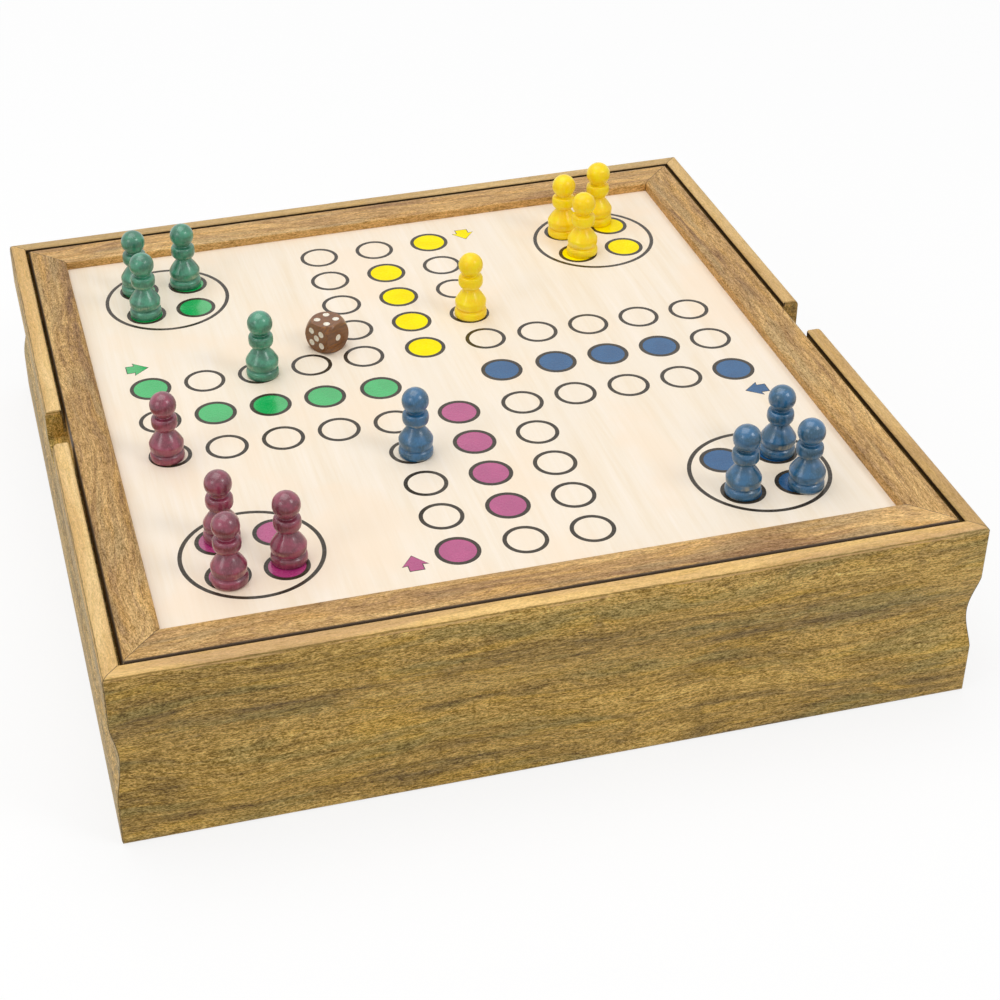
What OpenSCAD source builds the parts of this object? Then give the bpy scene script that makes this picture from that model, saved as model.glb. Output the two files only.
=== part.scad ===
// Square wooden game box with a lift-out ludo board, sixteen turned pawns and a die.
// Millimetres. Origin on the table at the middle of the box, +Z up, -Y towards the player.

/* [Box walls] */
// Outer width and depth of the square box
box_size = 300; // [290:2:320]
// Height of the walls, from the table to the rim
box_h = 70.7; // [66:0.1:80]
// Thickness of a wall at its foot
wall_t = 11; // [9:0.5:13]
// Radius of the sanded upright corners
corner_r = 1.2; // [0.6:0.2:3]
// Rounding of the outer edge of the rim
rim_round = 2.2; // [1:0.2:3]
// Rounding of the outer edge of the foot
foot_round = 1.5; // [1:0.5:4]

/* [Ogee moulding] */
// Depth of the hollow that runs round the outer faces
cove_depth = 2.5; // [1.5:0.1:3.5]
// Height at which the hollow begins, below the flat upper band
cove_top = 54.5; // [52:0.5:57]
// Height of the deepest line of the hollow
cove_mid = 34.5; // [32:0.5:37]
// Height at which the face is back at full thickness
cove_foot = 15.5; // [13:0.5:19]

/* [Board rebate and finger notches] */
// Width of the rim that stays beside the rebate
rim_w = 6.2; // [5:0.2:7]
// Depth of the rebate that the board lies in
rebate_h = 10; // [9:0.5:12]
// Width of each finger notch, along the wall
notch_w = 23; // [18:1:30]
// Depth of each finger notch below the rim
notch_h = 12; // [11:1:16]
// Sanding radius at the front end of each notch
notch_round = 2; // [1:0.5:3]

/* [Base and dividers] */
// Thickness of the plywood base
base_t = 4; // [3:0.5:5]
// Distance from the outer face to the rabbet for the base
base_rabbet = 5.5; // [5:0.5:7]
// Thickness of the two dividers
divider_t = 4; // [3:0.5:6]
// Height of the dividers above the base
divider_h = 44; // [30:1:46]
// Depth of the grooves that hold the dividers' ends
dado = 2; // [1:0.5:3]

/* [Game board] */
// Clear gap between the board and the rim, all round
board_gap = 1.2; // [0.8:0.2:2]
// Width of a frame rail
rail_w = 14.4; // [13:0.2:18]
// Height of the rim above the frame rails
rail_drop = 0.2; // [0:0.1:1.5]
// Height of the rim above the printed panel
panel_drop = 4.2; // [3:0.1:5]
// Thickness of the plywood panel
panel_t = 4; // [3:0.5:4]
// How far the panel runs into the rails
tongue = 5; // [3:0.5:7]
// Width of the softened strip along the inner edge of a rail
nose_w = 2; // [1:0.5:4]
// Fall of that softened strip towards the panel
nose_drop = 0.4; // [0.2:0.1:0.8]

/* [Playing field] */
// Distance between neighbouring circles along an arm
step = 21.0; // [20:0.1:21.4]
// Distance of the innermost circles from the middle
first = 24.6; // [23:0.1:25]
// Distance of the outer lanes from the middle lane of an arm
lane = 23.9; // [22:0.1:25]
// Distance of a home circle from the middle, along X and Y
home = 91.4; // [88:0.1:92]
// Distance between the spots of a home circle
spot_pitch = 20.2; // [19:0.1:22]

/* [Pawns] */
// Radius of a pawn's foot
pawn_r = 6.6; // [6.3:0.1:7]
// Radius of the head
head_r = 4.95; // [4.6:0.05:5.2]
// Height of the middle of the head
head_z = 22.5; // [22:0.1:23]
// Radius of the collar
collar_r = 4.85; // [4.6:0.05:5.4]
// Radius of the neck
neck_r = 3.0; // [2.5:0.1:3.2]

/* [Die] */
// Edge length of the die
die_size = 12; // [10:0.5:14]
// Rounding of the edges
die_edge = 1.0; // [0.5:0.1:1.5]
// Radius of the ball that trims the corners
die_ball = 8.5; // [8.3:0.1:9]
// Distance of the outer pips from the middle of a face
pip_off = 2.55; // [2:0.05:3]
// Radius of a pip at the surface
pip_r = 1.35; // [0.8:0.05:1.4]
// Depth of a pip
pip_depth = 0.45; // [0.2:0.05:0.8]

/* [Hidden] */

$fn = 64;
tiny = 0.2;
half = box_size / 2;
shelf_z = box_h - rebate_h;
board_half = half - rim_w - board_gap;
rail_t = box_h - rail_drop - shelf_z;
panel_z = box_h - panel_drop;
field_half = board_half - rail_w;
divider_half = half - wall_t + dado - tiny;
divider_z = base_t + divider_h;
ease = 0.5;

wood = "#a5854c";
frame_wood = "#b39260";
plywood = "#f0dfc0";
raw_plywood = "#d9c39a";
green = "#2f7a5f";
yellow = "#fcc21a";
blue = "#2f5f94";
red = "#8a3f55";
dark_wood = "#6e4a1a";

// Points of an arc about a centre, from one angle to another
function arc(c, r, from, to, n) =
  [for (i = [0 : n]) let (a = from + (to - from) * i / n) c + r * [cos(a), sin(a)]];

// How far the moulded face lies behind the full face at a height: a half wave each way
function cove(z) =
  let (reach = z > cove_mid ? cove_top - cove_mid : cove_mid - cove_foot)
  cove_depth * (1 + cos(180 * (z - cove_mid) / reach)) / 2;

// Cross-section of a wall: distance behind the outer face, height
wall_profile = concat(
  arc([foot_round, foot_round], foot_round, 270, 180, 5),
  [for (z = [cove_foot : 1 : cove_top]) [cove(z), z]],
  arc([rim_round, box_h - rim_round], rim_round, 180, 90, 4),
  [
    [rim_w - ease, box_h], [rim_w, box_h - ease],
    [rim_w, shelf_z], [wall_t, shelf_z],
    [wall_t, base_t], [base_rabbet, base_t], [base_rabbet, 0]
  ]
);

// Cross-section of a frame rail: distance behind its outer edge, height above the shelf
panel_low = panel_z - panel_t - shelf_z;
panel_top = panel_z - shelf_z;
nose_r = 0.8;
rail_round = 1.5;
rail_profile = concat(
  [[ease, 0], [0, ease]],
  arc([rail_round, rail_t - rail_round], rail_round, 180, 90, 4),
  [[rail_w - nose_w, rail_t]],
  arc([rail_w - nose_r, rail_t - nose_drop - nose_r], nose_r, 80, 0, 4),
  [
    [rail_w, panel_top], [rail_w - tongue, panel_top],
    [rail_w - tongue, panel_low], [rail_w, panel_low],
    [rail_w, ease], [rail_w - ease, 0]
  ]
);

// Square with true round corners, centred
module rounded_square(size, r) {
  inner = size / 2 - r;
  square([size, 2 * inner], center = true);
  square([2 * inner, size], center = true);
  for (x = [-inner, inner], y = [-inner, inner])
    translate([x, y]) circle(r);
}

// Bar along the front side of a square frame, with both ends mitred
module mitred_bar(reach, width, height) {
  inner = reach - width;
  intersection() {
    translate([-reach, -reach, 0])
      rotate([90, 0, 90]) linear_extrude(2 * reach) children();
    linear_extrude(height)
      polygon([[-reach, -reach], [reach, -reach], [inner, -inner], [-inner, -inner]]);
  }
}

// Groove for the end of a divider, at the middle of the front wall
module divider_dado() {
  slot = divider_t + tiny;
  translate([-slot / 2, -half + wall_t - dado, base_t])
    cube([slot, dado + 1, divider_h]);
}

// Wall on the front side, before it is turned to its own side
module wall() {
  difference() {
    intersection() {
      mitred_bar(half, wall_t, box_h) polygon(wall_profile);
      linear_extrude(box_h) rounded_square(box_size, corner_r);
    }
    divider_dado();
  }
}

// Finger notch through the left wall, sanded round at its front end
module finger_notch() {
  front = -notch_w / 2;
  through = wall_t + 2;
  translate([-half - 1, 0, box_h - notch_h]) linear_extrude(notch_h + 1) {
    translate([0, front]) square([through, notch_w]);
    difference() {
      translate([0, front - notch_round]) square([1 + notch_round, notch_round]);
      translate([1 + notch_round, front - notch_round]) circle(notch_round);
    }
  }
}

module front_wall() color(wood) wall();

module back_wall() color(wood) rotate([0, 0, 180]) wall();

module left_wall() color(wood) difference() {
  rotate([0, 0, -90]) wall();
  finger_notch();
}

module right_wall() color(wood) difference() {
  rotate([0, 0, 90]) wall();
  mirror([1, 0, 0]) finger_notch();
}

// Plywood base, flush with the foot of the walls
module base_panel() color(raw_plywood) {
  size = 2 * (half - base_rabbet - tiny);
  translate([-size / 2, -size / 2, 0]) cube([size, size, base_t]);
}

// Divider along X, notched from above at the crossing
module long_divider() color(raw_plywood) difference() {
  translate([-divider_half, -divider_t / 2, base_t])
    cube([2 * divider_half, divider_t, divider_h]);
  translate([0, 0, base_t + divider_h * 3 / 4])
    cube([divider_t + tiny, divider_t + 1, divider_h / 2], center = true);
}

// Divider along Y, notched from below at the crossing
module cross_divider() color(raw_plywood) difference() {
  translate([-divider_t / 2, -divider_half, base_t])
    cube([divider_t, 2 * divider_half, divider_h]);
  translate([0, 0, base_t + divider_h / 4])
    cube([divider_t + 1, divider_t + tiny, divider_h / 2], center = true);
}

// Frame rail on the front side, before it is turned to its own side
module rail() {
  translate([0, 0, shelf_z])
    mitred_bar(board_half, rail_w, rail_t) polygon(rail_profile);
}

module board_front_rail() color(frame_wood) rail();

module board_back_rail() color(frame_wood) rotate([0, 0, 180]) rail();

module board_left_rail() color(frame_wood) rotate([0, 0, -90]) rail();

module board_right_rail() color(frame_wood) rotate([0, 0, 90]) rail();

// Plywood panel, held in the grooves of the rails
module board_panel() color(plywood) {
  size = 2 * (field_half + tongue - tiny);
  translate([-size / 2, -size / 2, panel_z - panel_t]) cube([size, size, panel_t]);
}

// Outline of a pawn from its axis: foot disc, groove, bell, neck, collar and head
foot_h = 3.3;
foot_edge = 0.7;
groove_r = 5.4;
bell_low = [5.95, 4.0];
bell_ridge = [6.2, 5.9];
bell_swell = 0.6;
bell_top = 11.4;
collar_bead = 2.4;
collar_low = 14.7;
collar_high = 15.9;

// Points of a flat curve between two points that swells outwards by a given height
function swell(from, to, height, n) =
  let (run = to - from, out = [run.y, -run.x] / norm(run))
  [for (i = [0 : n]) let (t = i / n) from + run * t + out * height * 4 * t * (1 - t)];

module pawn_outline() {
  intersection() {
    square([pawn_r + 1, head_z + head_r + 1]);
    union() {
      square([pawn_r - foot_edge, foot_h]);
      translate([0, 0.3]) square([pawn_r, foot_h - foot_edge - 0.3]);
      translate([pawn_r - foot_edge, foot_h - foot_edge]) circle(foot_edge);
      polygon(concat(
        [[0, 1], [groove_r, 1], [groove_r, foot_h + 0.3], bell_low],
        swell(bell_ridge, [neck_r, bell_top], bell_swell, 10),
        [[0, bell_top]]
      ));
      square([neck_r, head_z]);
      for (z = [collar_low, collar_high])
        translate([collar_r - collar_bead, z]) circle(collar_bead);
      translate([0, collar_low]) square([collar_r, collar_high - collar_low]);
      translate([0, head_z]) circle(head_r);
    }
  }
}

// Track circle by column and row of the eleven by eleven field, row 0 at the back
function along(k) = k == 0 ? 0 : sign(k) * (first + (abs(k) - 1) * step);
function circle_at(col, row) =
  let (i = col - 5, j = 5 - row)
  abs(i) == 1 && abs(j) == 1 ? first * [i, j]
    : abs(i) <= 1 ? [i * lane, along(j)]
    : [along(i), j * lane];

// Spot of a home circle: the signs of its corner, then the signs of the spot within it
function spot_at(sx, sy, a, b) = [sx * home + a * spot_pitch / 2, sy * home + b * spot_pitch / 2];

// Offset of the printed track from the middle of the panel
print_shift = [0.1, -0.2];

// Turned pawn standing on the panel, a little off its printed spot
module pawn(spot, off, paint) color(paint)
  translate([spot.x + print_shift.x + off.x, spot.y + print_shift.y + off.y, panel_z])
    rotate_extrude() pawn_outline();

// Pips of one face, on the +Z side of a die about the origin
module pips(count) {
  dish_r = (pip_r * pip_r + pip_depth * pip_depth) / (2 * pip_depth);
  corners = [[1, 1], [-1, -1], [1, -1], [-1, 1], [0, 1], [0, -1]];
  places = concat(
    count % 2 == 1 ? [[0, 0]] : [],
    [for (i = [0 : 1 : count - count % 2 - 1]) corners[i]]
  );
  for (p = places)
    translate([p.x * pip_off, p.y * pip_off, die_size / 2 + dish_r - pip_depth]) sphere(dish_r);
}

// Die with eased edges, corners trimmed to a ball, and dished pips
die_place = [-36.4, 36.2];
die_turn = 34;
module die() color(dark_wood)
  translate([die_place.x, die_place.y, panel_z + die_size / 2]) rotate([0, 0, die_turn])
    difference() {
      intersection() {
        for (turn = [[0, 0, 0], [90, 0, 0], [0, 90, 0]])
          rotate(turn) translate([0, 0, -die_size / 2])
            linear_extrude(die_size) rounded_square(die_size, die_edge);
        sphere(die_ball);
      }
      pips(4);
      rotate([180, 0, 0]) pips(3);
      rotate([90, 0, 0]) pips(1);
      rotate([-90, 0, 0]) pips(6);
      rotate([0, -90, 0]) pips(5);
      rotate([0, 90, 0]) pips(2);
    }

front_wall();
back_wall();
left_wall();
right_wall();
base_panel();
long_divider();
cross_divider();
board_front_rail();
board_back_rail();
board_left_rail();
board_right_rail();
board_panel();
pawn(spot_at(-1, 1, -1, 1), [-0.6, 0.5], green);  // green_pawn_1
pawn(spot_at(-1, 1, 1, 1), [-0.7, 0.7], green);  // green_pawn_2
pawn(spot_at(-1, 1, -1, -1), [-0.1, 0.4], green);  // green_pawn_3
pawn(circle_at(2, 4), [1.5, -1.4], green);  // green_pawn_4
pawn(spot_at(1, 1, -1, 1), [-0.7, -1.5], yellow);  // yellow_pawn_1
pawn(spot_at(1, 1, 1, 1), [-3.5, 5], yellow);  // yellow_pawn_2
pawn(spot_at(1, 1, -1, -1), [2, 0.5], yellow);  // yellow_pawn_3
pawn(circle_at(6, 3), [0.2, -1.2], yellow);  // yellow_pawn_4
pawn(spot_at(1, -1, -1, -1), [-0.5, -0.5], blue);  // blue_pawn_1
pawn(spot_at(1, -1, 1, 1), [0.7, -0.1], blue);  // blue_pawn_2
pawn(spot_at(1, -1, 1, -1), [1.9, -2.8], blue);  // blue_pawn_3
pawn(circle_at(4, 7), [1.5, -1.5], blue);  // blue_pawn_4
pawn(spot_at(-1, -1, -1, 1), [2, 1.8], red);  // red_pawn_1
pawn(spot_at(-1, -1, -1, -1), [0.1, -2.8], red);  // red_pawn_2
pawn(spot_at(-1, -1, 1, -1), [1.5, 3.5], red);  // red_pawn_3
pawn(circle_at(0, 6), [-1.1, -1], red);  // red_pawn_4
die();
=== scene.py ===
"""Looks of the wooden ludo board box: finishes, printed track, pips, floor, lamps and camera."""

import math
from functools import cached_property

import bmesh
import bpy
from mathutils import Matrix, Vector


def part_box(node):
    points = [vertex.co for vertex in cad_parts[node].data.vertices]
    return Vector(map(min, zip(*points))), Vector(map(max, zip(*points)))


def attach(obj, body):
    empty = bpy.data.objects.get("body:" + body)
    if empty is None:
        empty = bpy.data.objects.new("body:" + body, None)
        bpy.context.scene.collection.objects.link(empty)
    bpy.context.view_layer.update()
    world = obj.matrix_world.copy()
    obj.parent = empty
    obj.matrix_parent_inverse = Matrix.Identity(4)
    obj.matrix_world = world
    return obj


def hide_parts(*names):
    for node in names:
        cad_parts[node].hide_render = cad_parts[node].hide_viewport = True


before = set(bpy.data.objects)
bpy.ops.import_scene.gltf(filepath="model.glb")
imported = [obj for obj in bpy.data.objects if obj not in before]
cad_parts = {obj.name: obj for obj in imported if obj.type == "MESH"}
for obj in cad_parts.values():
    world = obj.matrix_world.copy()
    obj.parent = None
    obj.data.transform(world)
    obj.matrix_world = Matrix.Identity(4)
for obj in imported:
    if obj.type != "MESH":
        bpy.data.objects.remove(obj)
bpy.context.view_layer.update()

MM = 0.001

# Printed field, in millimetres from the middle of the panel
STEP, FIRST, LANE = 21.0, 24.6, 23.9
HOME, SPOT_PITCH = 91.4, 20.2
PRINT_SHIFT = (0.1, -0.2)
RING_R, RING_LINE = 7.95, 1.5
HOME_RING_R, HOME_LINE = 25.3, 1.5
ARROW_OUT, ARROW_SIDE = 112.0, 39.8
ARROW_TIP, ARROW_NECK, ARROW_TAIL = 4.8, -0.5, -3.7
ARROW_WING, ARROW_SHAFT, ARROW_BARB, ARROW_BORDER = 4.55, 2.55, 0.3, 0.15
INK_SUNK, FILL_RISE, LINE_RISE = 0.05, 0.02, 0.04
RING_SEGMENTS, HOME_SEGMENTS = 72, 144

# Gap round the board, and the die, in millimetres, as in the CAD source
BOARD_GAP = 1.2
DIE_SIZE, DIE_TURN = 12.0, math.radians(34)
PIP_OFF, PIP_R, PIP_DEPTH, PIP_FILL = 2.55, 1.35, 0.45, 0.06
PIP_COVER, PIP_RINGS, PIP_SEGMENTS = 0.98, 4, 24

# Floor's side, the distances over which its shadow fades, its share of plain white, and the fill light
FLOOR_SIZE, FADE_REACH, FLOOR_WHITE, WORLD_FILL = 6.0, (0.35, 1.4), 0.8, 0.46

# Each lamp: place and side in metres, and power in watts
LAMPS = {
    "top_soft_box": ((-0.20, 0.20, 1.30), 1.2, 9.3),
    "left_soft_box": ((-1.10, -0.55, 0.80), 0.50, 2.2),
    "right_soft_box": ((0.75, -0.75, 1.05), 0.45, 3.7),
}
LAMP_AIM = Vector((0, 0, 0.05))

# Camera of the photograph, solved on the printed circles and the box edges
CAMERA_LENS, CAMERA_SHIFT = 74.745, (0.1492, 0.0005)
CAMERA_AZIMUTH, CAMERA_ELEVATION, CAMERA_ROLL = -11.896, 34.758, -2.235
CAMERA_TARGET, CAMERA_DISTANCE = Vector((-0.05186, -0.06997, 0.0665)), 0.72734


def srgb(code):
    """Linear opaque colour of a six-digit sRGB code."""
    parts = [int(code[i:i + 2], 16) / 255 for i in (1, 3, 5)]
    return tuple(c / 12.92 if c <= 0.04045 else ((c + 0.055) / 1.055) ** 2.4 for c in parts) + (1.0,)


def grey(level):
    """Plain linear grey of that level."""
    return (level, level, level, 1.0)


class Graph:
    """Node tree of a material or of the world, with short calls for the nodes used here."""

    def __init__(self, owner):
        owner.use_nodes = True
        self.owner = owner
        self.tree = owner.node_tree
        self.tree.nodes.clear()

    @cached_property
    def object_coords(self):
        return self.add("ShaderNodeTexCoord").outputs["Object"]

    def add(self, kind, inputs=None, **settings):
        node = self.tree.nodes.new(kind)
        for key, value in settings.items():
            setattr(node, key, value)
        for key, value in (inputs or {}).items():
            self.feed(node.inputs[key], value)
        return node

    def feed(self, socket, value):
        if isinstance(value, bpy.types.NodeSocket):
            self.tree.links.new(value, socket)
        else:
            socket.default_value = value

    def scaled(self, vector, scale, turn=0.0, shift=(0, 0, 0)):
        """The vector turned about Z, then scaled per axis."""
        inputs = {"Vector": vector, "Angle": turn}
        turned = self.add("ShaderNodeVectorRotate", inputs, rotation_type="Z_AXIS").outputs[0]
        inputs = {"Vector": turned, "Scale": scale, "Location": shift}
        return self.add("ShaderNodeMapping", inputs).outputs[0]

    def noise(self, vector, detail=2.0, roughness=0.5, distortion=0.0):
        inputs = {"Vector": vector, "Scale": 1.0, "Detail": detail, "Roughness": roughness}
        inputs["Distortion"] = distortion
        return self.add("ShaderNodeTexNoise", inputs).outputs["Fac"]

    def patches(self, size, detail=2.0, roughness=0.5, distortion=0.0, turn=0.0, shift=(0, 0, 0)):
        """Noise whose features have that size along X, Y and Z, in metres."""
        scale = tuple(1 / extent for extent in size)
        places = self.scaled(self.object_coords, scale, turn, shift)
        return self.noise(places, detail, roughness, distortion)

    def math(self, operation, a, b=0.0):
        return self.add("ShaderNodeMath", {0: a, 1: b}, operation=operation).outputs[0]

    def times(self, a, b):
        return self.math("MULTIPLY", a, b)

    def weighted(self, offset, *terms):
        """The offset plus each value times its weight."""
        total = offset
        for value, weight in terms:
            inputs = {0: value, 1: weight, 2: total}
            total = self.add("ShaderNodeMath", inputs, operation="MULTIPLY_ADD").outputs[0]
        return total

    def span(self, value, low, high, to_low=0.0, to_high=1.0):
        inputs = {"Value": value, "From Min": low, "From Max": high, "To Min": to_low, "To Max": to_high}
        return self.add("ShaderNodeMapRange", inputs, interpolation_type="SMOOTHSTEP").outputs["Result"]

    def near(self, value, level, full, none):
        """1 where the value is less than full away from the level, falling to 0 at none away."""
        away = self.math("ABSOLUTE", self.math("SUBTRACT", value, level))
        return self.span(away, full, none, 1.0, 0.0)

    def ramp(self, value, stops):
        node = self.add("ShaderNodeValToRGB", {"Fac": value})
        elements = node.color_ramp.elements
        while len(elements) < len(stops):
            elements.new(0.5)
        for element, (place, colour) in zip(elements, stops):
            element.position = place
            element.color = colour
        return node.outputs["Color"]

    def mix(self, factor, a, b, blend="MIX"):
        node = self.add("ShaderNodeMix", data_type="RGBA", blend_type=blend)
        for index, value in ((0, factor), (6, a), (7, b)):
            self.feed(node.inputs[index], value)
        return node.outputs[2]

    def bump(self, height, strength, distance, normal=None):
        inputs = {"Height": height, "Strength": strength, "Distance": distance}
        if normal is not None:
            inputs["Normal"] = normal
        return self.add("ShaderNodeBump", inputs).outputs[0]

    def speckle(self, colour, shade):
        """The colour lightened and darkened by shade, which is 1 on average, with little change of hue."""
        scaled = self.mix(1.0, colour, shade, "MULTIPLY")
        node = self.add("ShaderNodeMix", data_type="RGBA", blend_type="ADD", clamp_result=True)
        lift = self.weighted(-GREY_SHARE, (shade, GREY_SHARE))
        for index, value in ((0, 1.0), (6, scaled), (7, lift)):
            self.feed(node.inputs[index], value)
        return node.outputs[2]

    def soft_edges(self, radius):
        """Normal rounded at the edges, and a mask that is 1 on them."""
        rounded = self.add("ShaderNodeBevel", {"Radius": radius}, samples=6).outputs[0]
        plain = self.add("ShaderNodeNewGeometry").outputs["Normal"]
        facing = self.add("ShaderNodeVectorMath", {0: rounded, 1: plain}, operation="DOT_PRODUCT")
        return rounded, self.span(facing.outputs["Value"], 0.995, 0.93)

    def axis(self, name):
        return self.add("ShaderNodeSeparateXYZ", {"Vector": self.object_coords}).outputs[name]

    def finish(self, colour, roughness, normal=None, **sockets):
        inputs = {"Base Color": colour, "Roughness": roughness}
        if normal is not None:
            inputs["Normal"] = normal
        inputs.update(sockets)
        shader = self.add("ShaderNodeBsdfPrincipled", inputs)
        self.add("ShaderNodeOutputMaterial", {"Surface": shader.outputs[0]})
        return self.owner


def material_graph(name):
    return Graph(bpy.data.materials.new(name))


class WoodGraph(Graph):
    """Graph of wood whose grain runs along X or Y, bent by a slow drift, with its noises by size."""

    def __init__(self, name, along, seed):
        super().__init__(bpy.data.materials.new(name))
        self.turn = 0.0 if along == "X" else math.radians(-90)
        self.shift = (3.1 * seed, 5.7 * seed, 1.3 * seed)
        drift = self.patches(DRIFT, turn=self.turn, shift=self.shift)
        across = (0.0, SWAY, SWAY) if along == "X" else (SWAY, 0.0, SWAY)
        bend = self.add("ShaderNodeVectorMath", {0: drift, 1: across}, operation="MULTIPLY").outputs[0]
        moved = self.add("ShaderNodeVectorMath", {0: self.object_coords, 1: bend}, operation="ADD")
        self.wavy = moved.outputs[0]
        self.flecks = self.grain(*FLECKS)
        self.fibres = self.grain(*FIBRES)
        self.streaks = self.grain(*STREAKS)
        self.bands = self.grain(*BANDS)

    def grain(self, length, width, detail, roughness):
        """Noise with features of that length along the grain and width across it, in metres."""
        scale = (1 / length, 1 / width, 1 / width)
        return self.noise(self.scaled(self.wavy, scale, self.turn, self.shift), detail, roughness)

    def shade(self, contrast, painted_light_lift, painted_light_slope):
        """Lightness, about 1, from flecks, fibres and streaks, as it is and kept from too dark.
        The second argument is painted light added all over, and the third painted light that grows along
        X, per metre."""
        weights = [weight * contrast for weight in SPECK_WEIGHTS]
        # The X term is painted light, lightening the wood towards the right.
        terms = list(zip((self.flecks, self.fibres, self.streaks), weights)) + [(self.axis("X"), painted_light_slope)]
        total = self.weighted(1.0 + painted_light_lift - sum(weights) / 2, *terms)
        return total, self.math("MAXIMUM", total, DARKEST)

    def steep(self):
        """1 on upright faces, 0 on level ones."""
        normal = self.add("ShaderNodeNewGeometry").outputs["Normal"]
        up = self.add("ShaderNodeSeparateXYZ", {"Vector": normal}).outputs["Z"]
        return self.span(self.math("ABSOLUTE", up), 0.75, 0.35)

    def sides(self):
        """Distances from the box's middle along X and along Y."""
        return self.math("ABSOLUTE", self.axis("X")), self.math("ABSOLUTE", self.axis("Y"))


def stain(g, dark, middle, light, green, golden):
    """Bands of tone with green and golden patches, dark growth lines and thin dark streaks."""
    tone = g.weighted(0.0, (g.bands, 0.60), (g.streaks, 0.40))
    colour = g.ramp(tone, [(0.36, dark), (0.50, middle), (0.64, light)])
    colour = g.mix(g.span(g.grain(*GREEN_PATCHES), 0.50, 0.66, 0.0, 0.60), colour, green)
    colour = g.mix(g.span(g.grain(*GOLDEN_PATCHES), 0.52, 0.68, 0.0, 0.50), colour, golden)
    rings = g.math("SINE", g.times(g.grain(*GROWTH), GROWTH_LINES))
    line = g.times(g.span(rings, 0.72, 1.0), g.span(g.streaks, 0.44, 0.60, 0.0, 0.55))
    colour = g.mix(line, colour, dark)
    return g.mix(g.span(g.grain(*THIN_STREAKS), 0.62, 0.74, 0.0, 0.60), colour, dark)


def sanded_and_lit_rim(g, colour, stained, shade, middle, dark, rim, top):
    """The rim's paler strip above its border, partly paled by sanding and partly painted light, with a
    dark line and a painted highlight line just below it.
    """
    pale, paler = (srgb(code) for code in rim)
    height = g.weighted(-0.00030, (g.streaks, 0.0006), (g.axis("Z"), 1.0))
    border = top - RIM_EDGE
    # Partly painted light: the rim's top is painted paler, as wood paled by sanding and as the light it
    # takes from above.
    sanded_and_lit = g.mix(g.span(g.bands, 0.40, 0.60), pale, paler)
    sanded_and_lit = g.mix(g.span(g.fibres, 0.44, 0.28, 0.0, 0.35), sanded_and_lit, middle)
    sanded_and_lit = g.mix(g.span(g.streaks, 0.40, 0.60, 0.15, 0.40), sanded_and_lit, stained)
    sanded_and_lit = g.speckle(sanded_and_lit, g.weighted(0.75, (shade, 0.25)))
    # Painted highlight: a pale line on the rounded edge below the rim's border.
    pale_mark = g.near(height, border - HIGHLIGHT_DROP, HIGHLIGHT_WIDTH / 2, HIGHLIGHT_WIDTH)
    pale_mark = g.times(pale_mark, g.span(g.streaks, 0.36, 0.54))
    colour = g.mix(g.times(pale_mark, 0.70), colour, pale)
    line = g.near(height, border - LINE_DROP, LINE_WIDTH / 2, LINE_WIDTH)
    colour = g.mix(g.times(line, 0.65), colour, dark)
    return g.mix(g.span(height, border, border + 0.00012), colour, sanded_and_lit)


def finish_wood(g, colour, in_gap, top, light):
    """Painted shade near the top of the gap, edges paled by wear, mitre joints and the oiled surface."""
    # Painted shade: the faces in the gap round the board are darkened near their top.
    gap_shade = g.span(g.axis("Z"), top - GAP_SHADE_DEPTH, top - GAP_SHADE_FULL)
    colour = g.mix(g.times(in_gap, gap_shade), colour, srgb(GAP_SHADE_TONE))
    normal, edge = g.soft_edges(0.0006)
    pale_mark = g.times(edge, g.span(g.fibres, 0.42, 0.62, 0.10, 0.5))
    colour = g.mix(pale_mark, colour, light)
    joint = g.near(g.math("SUBTRACT", *g.sides()), 0.0, 0.4 * MITRE_WIDTH, MITRE_WIDTH)
    colour = g.mix(g.times(joint, 0.80), colour, srgb(JOINT_TONE))
    relief = g.weighted(0.0, (g.fibres, 0.6), (g.flecks, 0.6))
    normal = g.bump(relief, 0.40, 0.00014, normal)
    return g.finish(colour, g.span(g.fibres, 0.3, 0.7, 0.60, 0.44), normal)


def wall_wood(name, along, seed, top, gap_at, rim, painted_light_slope):
    """Oiled olive-brown wood of a box wall with its paler rim top, partly paled by sanding and partly
    painted light, and painted shade on its face in the gap.
    """
    g = WoodGraph(name, along, seed)
    dark, middle, light, green, golden = (srgb(code) for code in WALL_TONES)
    stained = stain(g, dark, middle, light, green, golden)
    # Painted light: the front wall's lightness is lifted all over and grows towards the right.
    shade, shown = g.shade(1.0, LIGHT_LIFT_PER_SLOPE * painted_light_slope, painted_light_slope)
    colour = g.speckle(stained, shown)
    colour = sanded_and_lit_rim(g, colour, stained, shade, middle, dark, rim, top)
    # Painted shade goes on the upright faces next to the gap round the board.
    in_gap = g.times(g.near(g.math("MAXIMUM", *g.sides()), gap_at, 0.0004, 0.0008), g.steep())
    return finish_wood(g, colour, in_gap, top, light)


def rail_wood(name, along, seed, top, gap_at, painted_light_lift, painted_light_slope):
    """Oiled grey-brown wood of a board rail with its golden lip, and painted shade on its face in the gap.
    """
    g = WoodGraph(name, along, seed)
    dark, middle, light, green, golden = (srgb(code) for code in RAIL_TONES)
    colour = stain(g, dark, middle, light, green, golden)
    colour = g.mix(g.times(g.steep(), 0.70), colour, srgb(LIP_TONE))
    # Painted light: each rail's lightness is lifted by its side's share, and the front rail's grows
    # towards the right.
    colour = g.speckle(colour, g.shade(RAIL_CONTRAST, painted_light_lift, painted_light_slope)[1])
    # Painted shade goes on the rail's outer faces in the gap, near their top.
    outside = g.span(g.math("MAXIMUM", *g.sides()), gap_at - 0.0012, gap_at - 0.0008)
    in_gap = g.times(outside, g.span(g.axis("Z"), top - 0.00012, top - 0.00045))
    return finish_wood(g, colour, in_gap, top, light)


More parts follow.
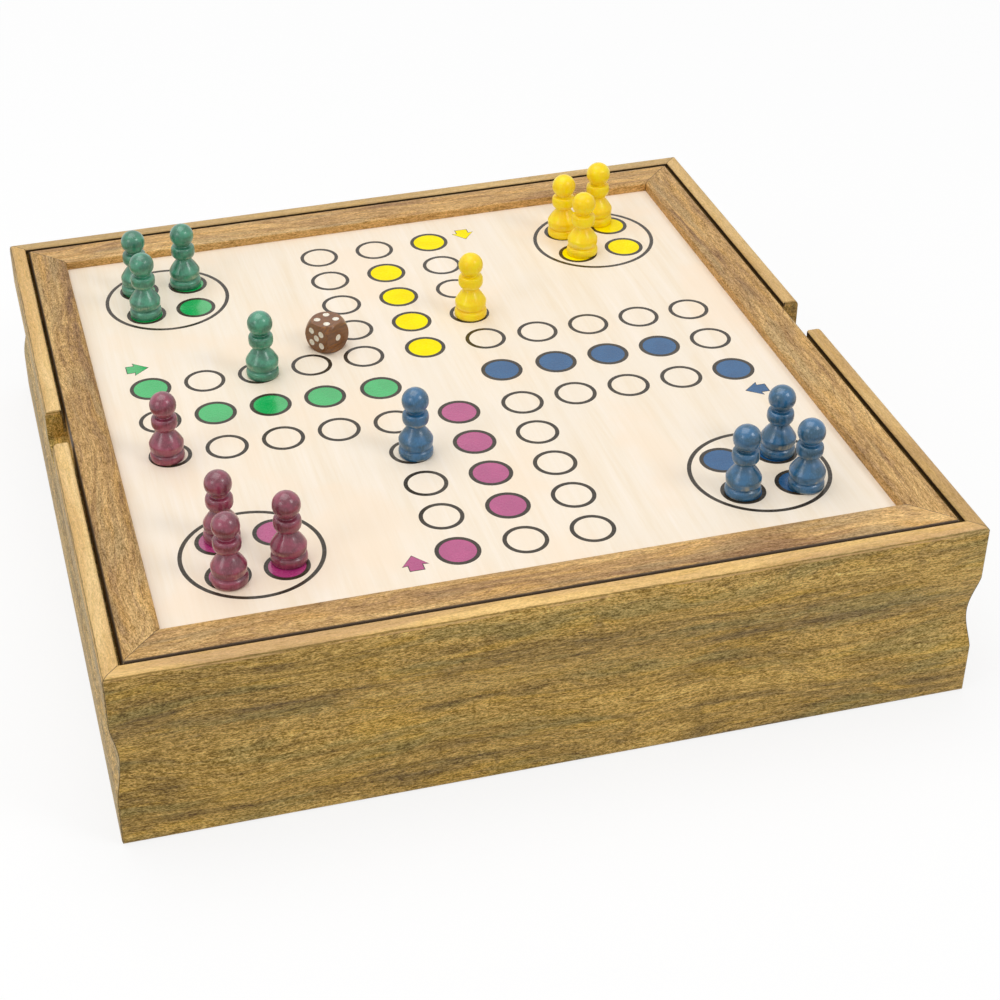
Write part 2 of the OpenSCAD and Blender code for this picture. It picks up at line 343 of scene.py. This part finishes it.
def printed_panel():
    """Pale sanded plywood, its faint face grain running from front to back."""
    g = material_graph("printed_plywood_panel")
    fine = g.patches((0.0012, 0.030, 0.001), 3.0, 0.60)
    streak = g.patches((0.007, 0.10, 0.01), 2.0, 0.5, 0.2)
    cloud = g.patches((0.035, 0.050, 0.05), 3.0, 0.55)
    tone = g.weighted(0.0, (fine, 0.45), (streak, 0.55))
    colour = g.ramp(tone, [(0.32, srgb("#efdec5")), (0.52, srgb("#f4e6d2")), (0.72, srgb("#f8ecdd"))])
    colour = g.mix(g.span(cloud, 0.48, 0.66, 0.0, 0.6), colour, srgb("#f7e2c8"))
    colour = g.mix(g.span(cloud, 0.46, 0.34, 0.0, 0.5), colour, srgb("#f2e6d5"))
    normal = g.bump(fine, 0.15, 0.00008)
    return g.finish(colour, g.span(fine, 0.3, 0.7, 0.62, 0.50), normal)


def bare_plywood(name, thickness_axis, low, thickness, along):
    """Unfinished birch plywood: face grain, and the plies as stripes on its edges."""
    g = material_graph(name)
    size = (0.05, 0.0016, 0.0016) if along == "X" else (0.0016, 0.05, 0.0016)
    fine = g.patches(size, 3.0, 0.55)
    broad = g.patches([9 * extent for extent in size], 2.0, 0.5, 0.4)
    tone = g.weighted(0.0, (fine, 0.5), (broad, 0.5))
    face = g.ramp(tone, [(0.30, srgb("#c9ae80")), (0.52, srgb("#dcc499")), (0.75, srgb("#e8d4ae"))])

    depth = g.math("DIVIDE", g.math("SUBTRACT", g.axis(thickness_axis), low), thickness)
    ply = g.math("FRACT", g.times(depth, PLY_PAIRS))
    dark_ply = g.span(ply, 0.48, 0.55)
    edge = g.mix(dark_ply, srgb("#d8bf92"), srgb("#a98557"))
    edge = g.mix(g.times(fine, 0.5), edge, srgb("#8f6d43"))
    normal = g.add("ShaderNodeNewGeometry").outputs["Normal"]
    facing = g.add("ShaderNodeSeparateXYZ", {"Vector": normal}).outputs[thickness_axis]
    on_edge = g.math("LESS_THAN", g.math("ABSOLUTE", facing), 0.5)
    colour = g.mix(on_edge, face, edge)
    return g.finish(colour, g.span(fine, 0.3, 0.7, 0.78, 0.66), g.bump(fine, 0.25, 0.00012))


def paint(name, base, deep, pale, wear_and_reflection, gloss):
    """Satin paint on turned wood: grain shows through, and near the ridges it wears through to the wood,
    whose pale colour there also stands for a painted reflection of the pale board below.
    """
    g = material_graph(name)
    grain = g.patches((0.0005, 0.0005, 0.0030), 3.0, 0.65)
    speck = g.patches((0.0004, 0.0004, 0.0007), 2.0, 0.6)
    cloud = g.patches((0.0045, 0.0045, 0.0030))
    colour = g.mix(g.span(cloud, 0.36, 0.64), srgb(deep), srgb(base))
    colour = g.mix(g.span(grain, 0.48, 0.72, 0.0, 0.30), colour, srgb(pale))
    colour = g.mix(g.span(speck, 0.46, 0.30, 0.0, 0.25), colour, srgb(deep))
    height = g.math("DIVIDE", g.math("SUBTRACT", g.axis("Z"), panel_top), MM)
    # Partly painted reflection: these pale bands lie where the pawn faces down towards the pale board, and
    # also stand for wear.
    pale_mark = 0.0
    for low, high in WEAR_AND_REFLECTION_BANDS:
        middle, reach = (low + high) / 2, (high - low) / 2
        pale_mark = g.math("MAXIMUM", pale_mark, g.near(height, middle, 0.4 * reach, 1.3 * reach))
    patches = g.patches((0.0060, 0.0060, 0.0035), shift=(4.0, 2.0, 1.0))
    pale_mark = g.times(pale_mark, g.span(patches, 0.46, 0.62))
    colour = g.mix(g.times(pale_mark, g.span(grain, 0.38, 0.60, 0.25, 0.75)), colour, srgb(wear_and_reflection))
    normal = g.bump(g.weighted(0.0, (grain, 0.7), (speck, 0.5)), 0.25, 0.00008)
    rough = g.span(cloud, 0.3, 0.7, 0.42, 0.34)
    coat = {"Coat Weight": 0.75 * gloss, "Coat Roughness": 0.17, "Specular IOR Level": 0.5 * gloss}
    return g.finish(colour, rough, normal, **coat)


def polished_wood():
    """Dark brown polished wood of the die, with fine grain."""
    g = material_graph("dark_die_wood")
    grain = g.patches((0.009, 0.0006, 0.0006), 3.0, 0.6, turn=-DIE_TURN)
    flecks = g.patches((0.0016, 0.0003, 0.0003), turn=-DIE_TURN)
    tone = g.weighted(0.0, (grain, 0.65), (flecks, 0.35))
    colour = g.ramp(tone, [(0.32, srgb("#432203")), (0.50, srgb("#744209")), (0.68, srgb("#9c6420"))])
    normal, edge = g.soft_edges(0.0003)
    colour = g.mix(g.times(edge, 0.25), colour, srgb("#b07c38"))
    normal = g.bump(tone, 0.2, 0.00006, normal)
    rough = g.span(grain, 0.3, 0.7, 0.36, 0.26)
    return g.finish(colour, rough, normal, **{"Coat Weight": 0.3, "Coat Roughness": 0.18})


def ink(name, base, deep, gloss):
    """Screen-printed ink that takes a little of the panel's grain."""
    g = material_graph(name)
    grain = g.patches((0.0012, 0.0012, 0.001), 3.0, 0.55)
    cloud = g.patches((0.007, 0.007, 0.01))
    colour = g.mix(g.span(cloud, 0.35, 0.65), srgb(deep), srgb(base))
    normal = g.bump(grain, 0.10, 0.00004)
    rough = g.span(grain, 0.3, 0.7, 0.32, 0.22)
    coat = {"Coat Weight": gloss, "Coat Roughness": 0.12, "Specular IOR Level": min(0.5, gloss)}
    return g.finish(colour, rough, normal, **coat)


def pip_paint():
    """Cream paint of the pips, slightly uneven."""
    g = material_graph("pip_paint")
    speck = g.patches((0.0006, 0.0006, 0.0006))
    colour = g.mix(g.span(speck, 0.35, 0.65), srgb("#e6dcc8"), srgb("#f6f0e2"))
    return g.finish(colour, g.span(speck, 0.3, 0.7, 0.5, 0.38), g.bump(speck, 0.15, 0.00005))


def dress(node, material):
    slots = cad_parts[node].data.materials
    slots.clear()
    slots.append(material)


def along_arm(k):
    """Distance from the middle of the k-th circle along an arm."""
    return 0.0 if k == 0 else math.copysign(FIRST + (abs(k) - 1) * STEP, k)


def circle_at(col, row):
    """Middle of a track circle by column and row of the eleven by eleven field, row 0 at the back."""
    i, j = col - 5, 5 - row
    if abs(i) == 1 and abs(j) == 1:
        x, y = FIRST * i, FIRST * j
    elif abs(i) <= 1:
        x, y = i * LANE, along_arm(j)
    else:
        x, y = along_arm(i), j * LANE
    return x + PRINT_SHIFT[0], y + PRINT_SHIFT[1]


def track():
    """All circles of the cross, as column and row."""
    arm = range(4, 7)
    return [(c, r) for c in range(11) for r in range(11) if (c in arm or r in arm) and (c, r) != (5, 5)]


def circle_points(centre, radius, count):
    turns = [2 * math.pi * i / count for i in range(count)]
    return [(centre[0] + radius * math.cos(a), centre[1] + radius * math.sin(a)) for a in turns]


def add_plate(bm, outline, rise):
    """Closed thin plate on the panel, from an outline in millimetres."""
    low, high = panel_top - INK_SUNK * MM, panel_top + rise * MM
    bottom = [bm.verts.new((x * MM, y * MM, low)) for x, y in outline]
    top = [bm.verts.new((x * MM, y * MM, high)) for x, y in outline]
    bm.faces.new(list(reversed(bottom)))
    bm.faces.new(top)
    count = len(outline)
    for i in range(count):
        k = (i + 1) % count
        bm.faces.new((bottom[i], bottom[k], top[k], top[i]))


def add_ring(bm, centre, radius, line, count):
    """Closed thin ring on the panel; radius is that of its outer edge."""
    low, high = panel_top - INK_SUNK * MM, panel_top + LINE_RISE * MM
    corners = ((radius, low), (radius, high), (radius - line, high), (radius - line, low))
    loops = []
    for reach, z in corners:
        loops.append([bm.verts.new((x * MM, y * MM, z)) for x, y in circle_points(centre, reach, count)])
    for a, b in zip(loops, loops[1:] + loops[:1]):
        for i in range(count):
            k = (i + 1) % count
            bm.faces.new((a[i], a[k], b[k], b[i]))


def arrow_outline(margin):
    """Arrow along +X with a straight tail, widened all round by a margin, in millimetres."""
    tip, neck, tail = ARROW_TIP + 1.5 * margin, ARROW_NECK - margin, ARROW_TAIL - margin
    wing, shaft = ARROW_WING + 1.2 * margin, ARROW_SHAFT + margin
    half = [(tail, shaft), (neck, shaft), (neck - ARROW_BARB, wing)]
    return [(x, -y) for x, y in half] + [(tip, 0.0)] + half[::-1]


def add_arrow(bm, centre, heading, margin, rise):
    """Short arrow that shows where a colour joins the track."""
    c, s = math.cos(heading), math.sin(heading)
    outline = [(centre[0] + c * x - s * y, centre[1] + s * x + c * y) for x, y in arrow_outline(margin)]
    add_plate(bm, outline, rise)


def finish_piece(name, bm, material, body, smooth=False):
    bmesh.ops.recalc_face_normals(bm, faces=bm.faces)
    mesh = bpy.data.meshes.new(name)
    bm.to_mesh(mesh)
    bm.free()
    mesh.materials.append(material)
    for face in mesh.polygons:
        face.use_smooth = smooth
    piece = bpy.data.objects.new(name, mesh)
    bpy.context.scene.collection.objects.link(piece)
    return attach(piece, body)


def home_spots(sx, sy):
    """Middles of the four spots of one home circle."""
    half = SPOT_PITCH / 2
    x, y = sx * HOME + PRINT_SHIFT[0], sy * HOME + PRINT_SHIFT[1]
    return [(x + a * half, y + b * half) for a in (-1, 1) for b in (-1, 1)]


# Each colour: corner of its home, filled circles, arrow's place and heading
ARM = range(1, 5)
PRINTS = {
    "green": ((-1, 1), [(0, 4)] + [(k, 5) for k in ARM], (-ARROW_OUT, ARROW_SIDE), 0.0),
    "yellow": ((1, 1), [(6, 0)] + [(5, k) for k in ARM], (ARROW_SIDE, ARROW_OUT), -math.pi / 2),
    "blue": ((1, -1), [(10, 6)] + [(k + 5, 5) for k in ARM], (ARROW_OUT, -ARROW_SIDE), math.pi),
    "magenta": ((-1, -1), [(4, 10)] + [(5, k + 5) for k in ARM], (-ARROW_SIDE, -ARROW_OUT), math.pi / 2),
}

# Each ink: main and deep tone, and gloss
INKS = {
    "green": ("#00b356", "#00aa50", 1.0),
    "yellow": ("#ffec00", "#fce400", 0.05),
    "blue": ("#175889", "#125181", 0.42),
    "magenta": ("#b6387a", "#ab3073", 1.0),
    "dark": ("#3d3427", "#342c22", 0.25),
}


def print_field():
    """Ring outlines, filled circles and arrows, one piece for the outlines and one for each colour."""
    lines = bmesh.new()
    for place in track():
        add_ring(lines, circle_at(*place), RING_R, RING_LINE, RING_SEGMENTS)
    for colour, (corner, filled, arrow, heading) in PRINTS.items():
        fills = bmesh.new()
        spots = home_spots(*corner)
        reach = RING_R - RING_LINE / 2
        for centre in [circle_at(*place) for place in filled] + spots:
            add_plate(fills, circle_points(centre, reach, RING_SEGMENTS), FILL_RISE)
        place = (arrow[0] + PRINT_SHIFT[0], arrow[1] + PRINT_SHIFT[1])
        add_arrow(fills, place, heading, -ARROW_BORDER, LINE_RISE)
        add_arrow(lines, place, heading, ARROW_BORDER, FILL_RISE)
        finish_piece(f"print_{colour}", fills, ink(f"ink_{colour}", *INKS[colour]), "board")
        for centre in spots:
            add_ring(lines, centre, RING_R, RING_LINE, RING_SEGMENTS)
        home = (corner[0] * HOME + PRINT_SHIFT[0], corner[1] * HOME + PRINT_SHIFT[1])
        add_ring(lines, home, HOME_RING_R, HOME_LINE, HOME_SEGMENTS)
    finish_piece("print_outlines", lines, ink("ink_dark", *INKS["dark"]), "board")


def pip_places(count):
    """Middles of the pips on a face, from the face's middle."""
    corners = [(1, 1), (-1, -1), (1, -1), (-1, 1), (0, 1), (0, -1)]
    middle = [(0, 0)] if count % 2 else []
    return [(x * PIP_OFF, y * PIP_OFF) for x, y in middle + corners[:count - count % 2]]


def add_pip(bm, place, turn):
    """Lens of paint that lines one dish of the die, on the face that turn brings up from +Z."""
    low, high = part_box("die")
    middle = (low + high) / 2
    dish_r = (PIP_R ** 2 + PIP_DEPTH ** 2) / (2 * PIP_DEPTH)
    frame_turn = Matrix.Rotation(DIE_TURN, 3, "Z") @ turn

    def dish(radius, lift):
        return DIE_SIZE / 2 + dish_r - PIP_DEPTH - math.sqrt(dish_r ** 2 - radius ** 2) + lift

    def vertex(x, y, z):
        return bm.verts.new(middle + frame_turn @ Vector((x, y, z)) * MM)

    edge = PIP_R * PIP_COVER
    shells = []
    for lift in (-PIP_FILL, PIP_FILL):
        pole = vertex(*place, dish(0, lift))
        loops = []
        for i in range(1, PIP_RINGS + 1):
            radius = edge * i / PIP_RINGS
            z = dish(radius, lift if i < PIP_RINGS else lift * 0.5)
            loops.append([vertex(x, y, z) for x, y in circle_points(place, radius, PIP_SEGMENTS)])
        for i in range(PIP_SEGMENTS):
            k = (i + 1) % PIP_SEGMENTS
            bm.faces.new((pole, loops[0][i], loops[0][k]))
            for a, b in zip(loops, loops[1:]):
                bm.faces.new((a[i], b[i], b[k], a[k]))
        shells.append(loops[-1])
    for i in range(PIP_SEGMENTS):
        k = (i + 1) % PIP_SEGMENTS
        bm.faces.new((shells[0][i], shells[1][i], shells[1][k], shells[0][k]))


def paint_pips():
    """Painted pips on all six faces, opposite faces adding up to seven."""
    quarter = math.pi / 2
    faces = (
        (4, Matrix.Identity(3)),
        (3, Matrix.Rotation(2 * quarter, 3, "X")),
        (1, Matrix.Rotation(quarter, 3, "X")),
        (6, Matrix.Rotation(-quarter, 3, "X")),
        (5, Matrix.Rotation(-quarter, 3, "Y")),
        (2, Matrix.Rotation(quarter, 3, "Y")),
    )
    bm = bmesh.new()
    for count, turn in faces:
        for place in pip_places(count):
            add_pip(bm, place, turn)
    finish_piece("die_pips", bm, pip_paint(), "die_piece", smooth=True)


# The drift that bends the wood's grain, in metres: its size along and across, and how far it goes
DRIFT, SWAY = (0.085, 0.030, 0.030), 0.015
# Each noise of the wood: length along the grain and width across it in metres, detail and roughness
FLECKS, FIBRES = (0.0011, 0.00032, 2.0, 0.70), (0.0038, 0.0007, 2.0, 0.60)
STREAKS, THIN_STREAKS = (0.026, 0.0020, 3.0, 0.60), (0.034, 0.0010, 2.0, 0.50)
BANDS, GROWTH = (0.12, 0.010, 2.0, 0.50), (0.10, 0.028, 2.0, 0.35)
GREEN_PATCHES, GOLDEN_PATCHES = (0.055, 0.0070, 2.0, 0.55), (0.032, 0.0042, 2.0, 0.55)
# How much flecks, fibres and streaks change the lightness, its least value, and the share of grey in it
SPECK_WEIGHTS, DARKEST, GREY_SHARE = (3.9, 1.8, 0.5), 0.45, 0.084

# Dark, middle, light, green and golden tones of the stain
WALL_TONES = ("#7f652b", "#bf994a", "#d6ae5b", "#968546", "#cfa33a")
RAIL_TONES = ("#866034", "#b88f52", "#d3ac6c", "#a68a5a", "#c9994c")
# The second of these is painted shade for the gap round the board.
LIP_TONE, GAP_SHADE_TONE, JOINT_TONE = "#bd8f48", "#35230c", "#33240f"
RAIL_CONTRAST, RAIL_SEED, GROWTH_LINES = 0.62, 7.0, 105.0

# Lines of the wood in metres: rim's edge below the top, painted highlight line and dark line below that
# edge and their widths, where the gap's painted shade starts and is full below the top, and the mitre
# joint's width
RIM_EDGE, HIGHLIGHT_DROP, LINE_DROP = 0.00066, 0.00065, 0.00018
HIGHLIGHT_WIDTH, LINE_WIDTH = 0.00038, 0.00030
GAP_SHADE_DEPTH, GAP_SHADE_FULL, MITRE_WIDTH = 0.0034, 0.0014, 0.00026

# Each side: direction of its grain, seed, colours of its rim's paler top, partly paled by sanding and
# partly painted light, and how much painted light lifts its rail
SIDES = {
    "front": ("X", 1.0, ("#d3a870", "#f0c67c"), 0.05),
    "back": ("X", 2.0, ("#c2a06c", "#d6b682"), 0.12),
    "left": ("Y", 3.0, ("#dbb070", "#ecc98c"), -0.12),
    "right": ("Y", 4.0, ("#c39a60", "#d9b47a"), 0.0),
}
# Painted light on the front: its wall and rail are lightened towards the right, per metre, and its wall a
# little all over
FRONT_LIGHT_SLOPE, RAIL_LIGHT_SLOPE, LIGHT_LIFT_PER_SLOPE = 0.60, 0.84, 0.05

# Each plywood piece: direction of its thickness and of its face grain; pairs of plies in its thickness
PLYWOODS = {"base_panel": ("Z", "X"), "long_divider": ("Y", "X"), "cross_divider": ("X", "Y")}
PLY_PAIRS = 1.5


def dress_woods():
    box_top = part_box("front_wall")[1].z
    rail_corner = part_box("board_right_rail")[1]
    board_half = rail_corner.x
    rim_inside = board_half + BOARD_GAP * MM
    for side, (grain, seed, rim, painted_light_lift) in SIDES.items():
        front = side == "front"
        # Painted light: the front's wall and rail lighten towards the right.
        painted_light_slope = FRONT_LIGHT_SLOPE if front else 0.0
        wall = wall_wood(f"wall_wood_{side}", grain, seed, box_top, rim_inside, rim, painted_light_slope)
        dress(f"{side}_wall", wall)
        painted_light_slope, seed = RAIL_LIGHT_SLOPE if front else 0.0, seed + RAIL_SEED
        rail = rail_wood(f"frame_wood_{side}", grain, seed, rail_corner.z, board_half, painted_light_lift, painted_light_slope)
        dress(f"board_{side}_rail", rail)
    dress("board_panel", printed_panel())
    for node, (thickness, grain) in PLYWOODS.items():
        low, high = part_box(node)
        index = "XYZ".index(thickness)
        material = bare_plywood(f"plywood_{node}", thickness, low[index], high[index] - low[index], grain)
        dress(node, material)


# Each paint: main, deep and pale tone, the colour where it wears through to the wood, which is also a
# painted reflection of the board, and its gloss
PAINTS = {
    "green": ("#3b9170", "#286b52", "#6cb094", "#9db08d", 1.0),
    "yellow": ("#ffe400", "#ffd600", "#fff05a", "#ffe678", 0.45),
    "blue": ("#1b628f", "#104c68", "#5a8ab2", "#a39c86", 1.0),
    "red": ("#93334f", "#6c2135", "#b0707f", "#b98a72", 1.0),
}
# Heights where a pawn's paint wears and where a painted reflection of the board lies, in millimetres above
# the board
WEAR_AND_REFLECTION_BANDS = ((0.1, 0.9), (4.2, 6.4), (12.9, 14.6), (18.4, 20.0))
SEGMENTS, CURVE_STEPS, HEAD_STEPS = 48, 4, 14

# Half outlines of a turned pawn, radius and height in millimetres
FOOT_CURVE = [(5.85, 0.0), (6.25, 0.5), (6.38, 1.7), (6.15, 2.9), (5.35, 3.65)]
FLANK_CURVE = [(5.25, 3.85), (5.90, 4.2), (6.15, 4.8), (6.25, 5.8), (6.28, 6.9)]
DOME_CURVE = [(6.16, 7.2), (5.62, 8.15), (4.95, 9.2), (4.15, 10.3), (3.35, 11.3), (2.80, 12.2)]
COLLAR_CURVE = [
    (2.85, 12.5), (4.00, 13.1), (4.68, 14.2), (4.84, 15.6), (4.70, 17.0), (4.20, 17.8), (2.90, 18.15),
]
HEAD_MIDDLE, HEAD_R, HEAD_NECK = 22.5, 4.95, 3.0


def between(p, q, r, s, t):
    """Value at t of the smooth curve from q to r, whose neighbours are p and s."""
    bend = (2 * p - 5 * q + 4 * r - s) * t * t + (3 * q - p - 3 * r + s) * t ** 3
    return 0.5 * (2 * q + (r - p) * t + bend)


def smooth_path(points):
    """Smooth curve through the points."""
    ends = [points[0]] + points + [points[-1]]
    path = []
    for corners in zip(ends, ends[1:], ends[2:], ends[3:]):
        for i in range(CURVE_STEPS):
            path.append(tuple(between(*values, i / CURVE_STEPS) for values in zip(*corners)))
    return path + [points[-1]]


def turned_outline(vary):
    """Outline of one pawn from its foot to its crown; vary changes the widths a little."""
    head = HEAD_R - 0.12 * abs(vary)
    bell = 1 + 0.012 * vary
    widths = (1 - 0.016 * vary, bell, bell, 1 - 0.012 * vary)
    path = []
    for curve, width in zip((FOOT_CURVE, FLANK_CURVE, DOME_CURVE, COLLAR_CURVE), widths):
        path += [(r * width, z) for r, z in smooth_path(curve)]
    start = math.asin(HEAD_NECK / head)
    for i in range(HEAD_STEPS):
        turn = start + (math.pi - start) * i / HEAD_STEPS
        path.append((head * math.sin(turn), HEAD_MIDDLE - head * math.cos(turn)))
    return path, HEAD_MIDDLE + head


def turn_pawn(node, vary, material):
    """Turned pawn with the photographed shoulder and groove, in place of its plain CAD solid."""
    low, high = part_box(node)
    middle = (low + high) / 2
    path, crown = turned_outline(vary)
    bm = bmesh.new()
    bottom = bm.verts.new((middle.x, middle.y, low.z))
    top = bm.verts.new((middle.x, middle.y, low.z + crown * MM))
    loops = []
    for radius, z in path:
        ring = circle_points((0, 0), radius * MM, SEGMENTS)
        loops.append([bm.verts.new((middle.x + x, middle.y + y, low.z + z * MM)) for x, y in ring])
    for i in range(SEGMENTS):
        k = (i + 1) % SEGMENTS
        bm.faces.new((bottom, loops[0][k], loops[0][i]))
        bm.faces.new((top, loops[-1][i], loops[-1][k]))
        for a, b in zip(loops, loops[1:]):
            bm.faces.new((a[i], a[k], b[k], b[i]))
    piece = finish_piece(f"{node}_turned", bm, material, f"{node}_piece", smooth=True)
    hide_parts(node)


def dress_pieces():
    for number, (colour, tones) in enumerate(PAINTS.items()):
        material = paint(f"{colour}_paint_satin", *tones)
        for i in range(1, 5):
            dress(f"{colour}_pawn_{i}", material)
            turn_pawn(f"{colour}_pawn_{i}", math.sin(5.3 * i + 2.1 * number), material)
    dress("die", polished_wood())


def seen_or_lit(g, seen, lit):
    """The seen shader for camera, mirror and glass rays, and the lit one for all others."""
    path = g.add("ShaderNodeLightPath").outputs
    rays = path["Is Camera Ray"]
    for name in ("Is Glossy Ray", "Is Transmission Ray"):
        rays = g.math("MAXIMUM", rays, path[name])
    return g.add("ShaderNodeMixShader", {0: rays, 1: lit, 2: seen}).outputs[0]


def make_floor():
    """White floor that takes a soft shadow near the object and fades to plain white further out."""
    bm = bmesh.new()
    bmesh.ops.create_grid(bm, x_segments=1, y_segments=1, size=FLOOR_SIZE / 2)
    mesh = bpy.data.meshes.new("floor")
    bm.to_mesh(mesh)
    bm.free()
    floor = bpy.data.objects.new("floor", mesh)
    bpy.context.scene.collection.objects.link(floor)

    g = material_graph("pale_floor")
    away = g.add("ShaderNodeVectorMath", {0: g.object_coords}, operation="LENGTH").outputs["Value"]
    near, far = FADE_REACH
    inputs = {"Value": away, "From Min": near, "From Max": far, "To Min": FLOOR_WHITE, "To Max": 1.0}
    fade = g.add("ShaderNodeMapRange", inputs).outputs["Result"]
    shadowed = g.add("ShaderNodeBsdfDiffuse", {"Color": grey(0.97)}).outputs[0]
    white = g.add("ShaderNodeEmission", {"Color": grey(1.0)}).outputs[0]
    seen = g.add("ShaderNodeMixShader", {0: fade, 1: shadowed, 2: white}).outputs[0]
    lit = g.add("ShaderNodeBsdfDiffuse", {"Color": grey(0.5)}).outputs[0]
    g.add("ShaderNodeOutputMaterial", {"Surface": seen_or_lit(g, seen, lit)})
    mesh.materials.append(g.owner)


def make_world():
    """White background that lights the object with a plain grey fill."""
    world = bpy.data.worlds.new("studio")
    bpy.context.scene.world = world
    g = Graph(world)
    lit = g.add("ShaderNodeBackground", {"Color": grey(WORLD_FILL)}).outputs[0]
    seen = g.add("ShaderNodeBackground", {"Color": grey(1.0)}).outputs[0]
    g.add("ShaderNodeOutputWorld", {"Surface": seen_or_lit(g, seen, lit)})


def make_lamp(name, place, size, watts):
    data = bpy.data.lights.new(name, "AREA")
    data.shape = "SQUARE"
    data.size = size
    data.energy = watts
    lamp = bpy.data.objects.new(name, data)
    lamp.location = place
    lamp.rotation_euler = (LAMP_AIM - Vector(place)).to_track_quat("-Z", "Y").to_euler()
    bpy.context.scene.collection.objects.link(lamp)


def make_camera():
    azimuth, elevation = math.radians(CAMERA_AZIMUTH), math.radians(CAMERA_ELEVATION)
    roll = math.radians(CAMERA_ROLL)
    level = math.cos(elevation)
    back = Vector((math.sin(azimuth) * level, -math.cos(azimuth) * level, math.sin(elevation)))
    right = Vector((0, 0, 1)).cross(back).normalized()
    up = back.cross(right)
    x_axis = right * math.cos(roll) + up * math.sin(roll)
    y_axis = up * math.cos(roll) - right * math.sin(roll)
    data = bpy.data.cameras.new("camera")
    data.sensor_width = 36.0
    data.lens = CAMERA_LENS
    data.shift_x, data.shift_y = CAMERA_SHIFT
    data.clip_start = 0.01
    camera = bpy.data.objects.new("camera", data)
    turn = Matrix((x_axis, y_axis, back)).transposed().to_4x4()
    camera.matrix_world = Matrix.Translation(CAMERA_TARGET + back * CAMERA_DISTANCE) @ turn
    bpy.context.scene.collection.objects.link(camera)
    bpy.context.scene.camera = camera


make_camera()
panel_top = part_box("board_panel")[1].z
dress_woods()
dress_pieces()
print_field()
paint_pips()
make_floor()
make_world()
for lamp_name, lamp_facts in LAMPS.items():
    make_lamp(lamp_name, *lamp_facts)
bpy.context.scene.view_settings.view_transform = "Standard"
